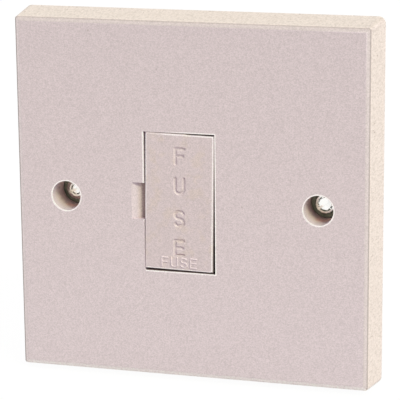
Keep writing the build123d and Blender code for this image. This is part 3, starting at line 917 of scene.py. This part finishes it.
def terminal_screw(column, row):
    """Slotted cheese-head screw of one terminal, turned its own way."""
    node = f"{column}_{row}_screw"
    top, head, tip = screw_place(node, 1)
    seat = 2.0 * MM
    edge = 0.25 * MM
    profile = [(0.0, 0.0), (0.0, head - edge), (0.07 * MM, head - 0.07 * MM), (edge, head),
               (seat - 0.08 * MM, head), (seat, head - 0.08 * MM), (seat, TERMINAL_NECK)]
    pitch = bpy.context.scene.spur_screw.pitch
    screw = turned_screw(f"slotted_{node}", profile, MACHINE_SHANK, pitch, top, tip, -1.0, 36)
    turn = math.radians(37.0 * (COLUMNS.index(column) + 1) + 61.0 * ROWS.index(row))
    carve(screw, bar_tool("slot", top, (head * 1.3, *TERMINAL_SLOT), turn), "DIFFERENCE")
    return screw


def cover_screw(end, side):
    """Cross-recessed pan-head screw of the rear housing, turned its own way."""
    node = f"cover_screw_{end}_{side}"
    top, head, tip = screw_place(node, 1)
    seat = 1.5 * MM
    profile = dome(0.75 * MM, head - 0.15 * MM)
    profile += [(0.95 * MM, head), (seat - 0.05 * MM, head), (seat, head - 0.06 * MM), (seat, COVER_NECK)]
    pitch = bpy.context.scene.spur_screw.coarse_pitch
    screw = turned_screw(f"crossed_{node}", profile, COVER_SHANK, pitch, top, tip, -1.0, 36)
    turn = math.radians(20.0 + 33.0 * SIDES.index(side) + (50.0 if end == "upper" else 0.0))
    for quarter in (0.0, math.pi / 2):
        carve(screw, bar_tool("recess", top, COVER_RECESS, turn + quarter), "DIFFERENCE")
    return screw


# Operators, one for each piece or group of like pieces

class DressPlate(bpy.types.Operator):
    """Finish the wall plate and the eyelets in its wells"""

    bl_idname = "spur.dress_plate"
    bl_label = "Wall plate"

    def execute(self, context):
        body = context.scene.spur_plastic.plate
        dress("front_plate", moulded_plastic("plate_plastic", body, plate_marks))
        eyelets = turned_metal("eyelet_brass", context.scene.spur_metal.eyelet, 0.42, 0.5)
        for side in SIDES:
            dress(f"fixing_eyelet_{side}", eyelets)
        return {"FINISHED"}


class MakeCarrier(bpy.types.Operator):
    """Engrave the fuse carrier and finish it"""

    bl_idname = "spur.make_carrier"
    bl_label = "Fuse carrier"

    def execute(self, context):
        body = context.scene.spur_plastic.carrier
        plastic = moulded_plastic("carrier_plastic", body, carrier_marks)
        finish_piece(lettered_carrier(), plastic, "carrier", "fuse_carrier")
        return {"FINISHED"}


class MakeFixingScrews(bpy.types.Operator):
    """Turn the two fixing screws with their threads and slots"""

    bl_idname = "spur.make_fixing_screws"
    bl_label = "Fixing screws"

    def execute(self, context):
        sizes = context.scene.spur_screw
        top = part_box("fixing_screw_left")[0].y
        darkening = [top + depth for depth in HEAD_DARKENING]
        nickel = turned_metal("nickel_screw", context.scene.spur_metal.nickel, 0.1, 0.12,
                              relief=0.0015 * MM, darkening=darkening)
        for side, turn in zip(SIDES, (sizes.left_turn, sizes.right_turn)):
            node = f"fixing_screw_{side}"
            finish_piece(fixing_screw(side, turn), nickel, "unit", node)
        return {"FINISHED"}


class DressHousing(bpy.types.Operator):
    """Finish the rear housing and make its cover screws"""

    bl_idname = "spur.dress_housing"
    bl_label = "Rear housing"

    def execute(self, context):
        body = context.scene.spur_plastic.housing
        dress("rear_housing", moulded_plastic("housing_plastic", body))
        zinc = turned_metal("cover_screw", context.scene.spur_metal.zinc, 0.36)
        for end in ENDS:
            for side in SIDES:
                node = f"cover_screw_{end}_{side}"
                finish_piece(cover_screw(end, side), zinc, "unit", node)
        return {"FINISHED"}


class DressWiring(bpy.types.Operator):
    """Finish the terminals and links and make the terminal screws"""

    bl_idname = "spur.dress_wiring"
    bl_label = "Terminals and links"

    def execute(self, context):
        brass = context.scene.spur_metal.brass
        bar = turned_metal("terminal_brass", brass, 0.34, 0.3, (1.0, 1.0, 0.1))
        strip = turned_metal("link_brass", brass, 0.3, 0.35, (1.0, 1.0, 0.08))
        screws = turned_metal("terminal_screw", brass, 0.28, 0.3)
        for node in ("neutral_link", "earth_strap"):
            dress(node, strip)
        for row in ROWS:
            for column in COLUMNS:
                node = f"{column}_{row}_screw"
                dress(f"{column}_{row}_terminal", bar)
                finish_piece(terminal_screw(column, row), screws, "unit", node)
        return {"FINISHED"}


class DressFuse(bpy.types.Operator):
    """Finish the cartridge fuse and its spring contacts"""

    bl_idname = "spur.dress_fuse"
    bl_label = "Fuse and contacts"

    def execute(self, context):
        metal = context.scene.spur_metal
        caps = turned_metal("plated_cap", metal.nickel, 0.22)
        springs = turned_metal("contact_bronze", metal.bronze, 0.33, 0.35, (1.0, 1.0, 0.1))
        dress("fuse_tube", fired_ceramic("fuse_ceramic", metal.ceramic))
        dress("fuse_element", turned_metal("fuse_wire", metal.nickel, 0.3))
        for row in ROWS:
            dress(f"{row}_fuse_cap", caps)
            dress(f"{row}_fuse_contact", springs)
        return {"FINISHED"}


# Stage

def empty_tree(block):
    """Node tree of a world or a material, cleared."""
    block.use_nodes = True
    block.node_tree.nodes.clear()
    return block.node_tree


def seen_directly(tree):
    """1 for camera, mirror and glass rays, else 0."""
    path = add_node(tree, "ShaderNodeLightPath").outputs
    seen = path["Is Camera Ray"]
    for ray in ("Is Glossy Ray", "Is Transmission Ray"):
        seen = compute(tree, "MAXIMUM", seen, path[ray])
    return seen


def split_by_ray(tree, output, hidden, seen):
    """Puts one shader on the output for light that falls on things, and another for rays that see it."""
    either = add_node(tree, "ShaderNodeMixShader", {
        "Fac": seen_directly(tree), 1: hidden.outputs[0], 2: seen.outputs[0]})
    add_node(tree, output, {"Surface": either.outputs["Shader"]})


def tent_light(stage):
    """World: a white backdrop to the eye, and a soft tent, dim in front and brightest at the right."""
    world = bpy.data.worlds.new("light_tent")
    bpy.context.scene.world = world
    tree = empty_tree(world)
    way = add_node(tree, "ShaderNodeTexCoord").outputs["Generated"]
    x, y, _ = add_node(tree, "ShaderNodeSeparateXYZ", {"Vector": way}).outputs
    level = add_node(tree, "ShaderNodeMapRange", {
        "Value": compute(tree, "MULTIPLY", y, y), "To Min": stage.side_fill, "To Max": stage.fill})
    total = compute(tree, "MULTIPLY_ADD", x, stage.tilt, level.outputs["Result"])
    tent = add_node(tree, "ShaderNodeBackground", {"Color": (*stage.fill_colour, 1.0), "Strength": total})
    backdrop = add_node(tree, "ShaderNodeBackground", {"Color": WHITE})
    split_by_ray(tree, "ShaderNodeOutputWorld", tent, backdrop)


def pale_floor(stage):
    """White floor just under the plate's edge that keeps the object's soft shadow."""
    level = CAD_BOX[0].z - 0.2 * MM
    half = 6.0
    mesh = bpy.data.meshes.new("floor")
    corners = [(-half, -half, level), (half, -half, level), (half, half, level), (-half, half, level)]
    mesh.from_pydata(corners, [], [(0, 1, 2, 3)])
    floor = new_object("floor", mesh)
    material = bpy.data.materials.new("pale_floor")
    tree = empty_tree(material)
    paint = add_node(tree, "ShaderNodeBsdfDiffuse", {"Color": (0.5, 0.5, 0.5, 1.0)})
    thin = add_node(tree, "ShaderNodeBsdfDiffuse", {"Color": (0.035, 0.035, 0.035, 1.0)})
    glow = add_node(tree, "ShaderNodeEmission", {"Strength": stage.floor})
    lit = add_node(tree, "ShaderNodeAddShader", {0: thin.outputs["BSDF"], 1: glow.outputs["Emission"]})
    split_by_ray(tree, "ShaderNodeOutputMaterial", paint, lit)
    mesh.materials.append(material)


def key_light(stage):
    """Soft warm sun from the upper right and in front."""
    lamp = bpy.data.lights.new("key_light", "SUN")
    lamp.energy = stage.key
    lamp.color = stage.key_colour
    lamp.angle = stage.key_width
    key = new_object("key_light", lamp)
    key.rotation_mode = "QUATERNION"
    key.rotation_quaternion = Vector(stage.key_way).to_track_quat("-Z", "Y")


def camera_view(stage):
    """Camera that looks at the target from a turn, a height and a distance, rolled about its own axis."""
    lens = bpy.data.cameras.new("camera")
    lens.sensor_width = 36.0
    lens.lens = stage.lens
    lens.clip_start = 0.01
    lens.clip_end = 50.0
    camera = new_object("camera", lens)
    turn = stage.azimuth
    flat = math.cos(stage.elevation)
    back = Vector((math.sin(turn) * flat, -math.cos(turn) * flat, math.sin(stage.elevation)))
    right = (-back).cross(Vector((0.0, 0.0, 1.0))).normalized()
    up = right.cross(-back)
    turn_right = right * math.cos(stage.roll) + up * math.sin(stage.roll)
    turn_up = up * math.cos(stage.roll) - right * math.sin(stage.roll)
    eye = Vector(stage.target) + back * stage.distance
    axes = Matrix((turn_right, turn_up, back)).transposed()
    camera.matrix_world = Matrix.Translation(eye) @ axes.to_4x4()
    bpy.context.scene.camera = camera


class SetStage(bpy.types.Operator):
    """Set the floor, the lights and the camera"""

    bl_idname = "spur.set_stage"
    bl_label = "Stage"

    def execute(self, context):
        stage = context.scene.spur_stage
        context.scene.view_settings.view_transform = "Standard"
        tent_light(stage)
        pale_floor(stage)
        key_light(stage)
        camera_view(stage)
        return {"FINISHED"}


OPERATORS = (DressPlate, MakeCarrier, MakeFixingScrews, DressHousing, DressWiring, DressFuse, SetStage)


class SpurPanel(bpy.types.Panel):
    """Sizes, colours and steps of the spur unit."""

    bl_idname = "VIEW3D_PT_spur_unit"
    bl_label = "Fused spur unit"
    bl_space_type = "VIEW_3D"
    bl_region_type = "UI"
    bl_category = "Spur unit"

    def draw(self, context):
        for name, group in GROUPS.items():
            box = self.layout.box()
            box.label(text=group.__doc__.split(".")[0])
            for key in group.__annotations__:
                box.prop(getattr(context.scene, name), key)
        for operator in OPERATORS:
            self.layout.operator(operator.bl_idname)


def register():
    """Registers the classes and hangs the property groups on the scene."""
    for group in (*GROUPS.values(), *OPERATORS, SpurPanel):
        bpy.utils.register_class(group)
    for name, group in GROUPS.items():
        setattr(bpy.types.Scene, name, bpy.props.PointerProperty(type=group))


def unregister():
    """Takes back what register did."""
    for name in GROUPS:
        delattr(bpy.types.Scene, name)
    for group in (SpurPanel, *reversed(OPERATORS), *reversed(GROUPS.values())):
        bpy.utils.unregister_class(group)


def main():
    """Registers the add-on and runs its steps in order."""
    register()
    bpy.ops.spur.dress_plate()
    bpy.ops.spur.make_carrier()
    bpy.ops.spur.make_fixing_screws()
    bpy.ops.spur.dress_housing()
    bpy.ops.spur.dress_wiring()
    bpy.ops.spur.dress_fuse()
    bpy.ops.spur.set_stage()


if __name__ == "__main__":
    main()
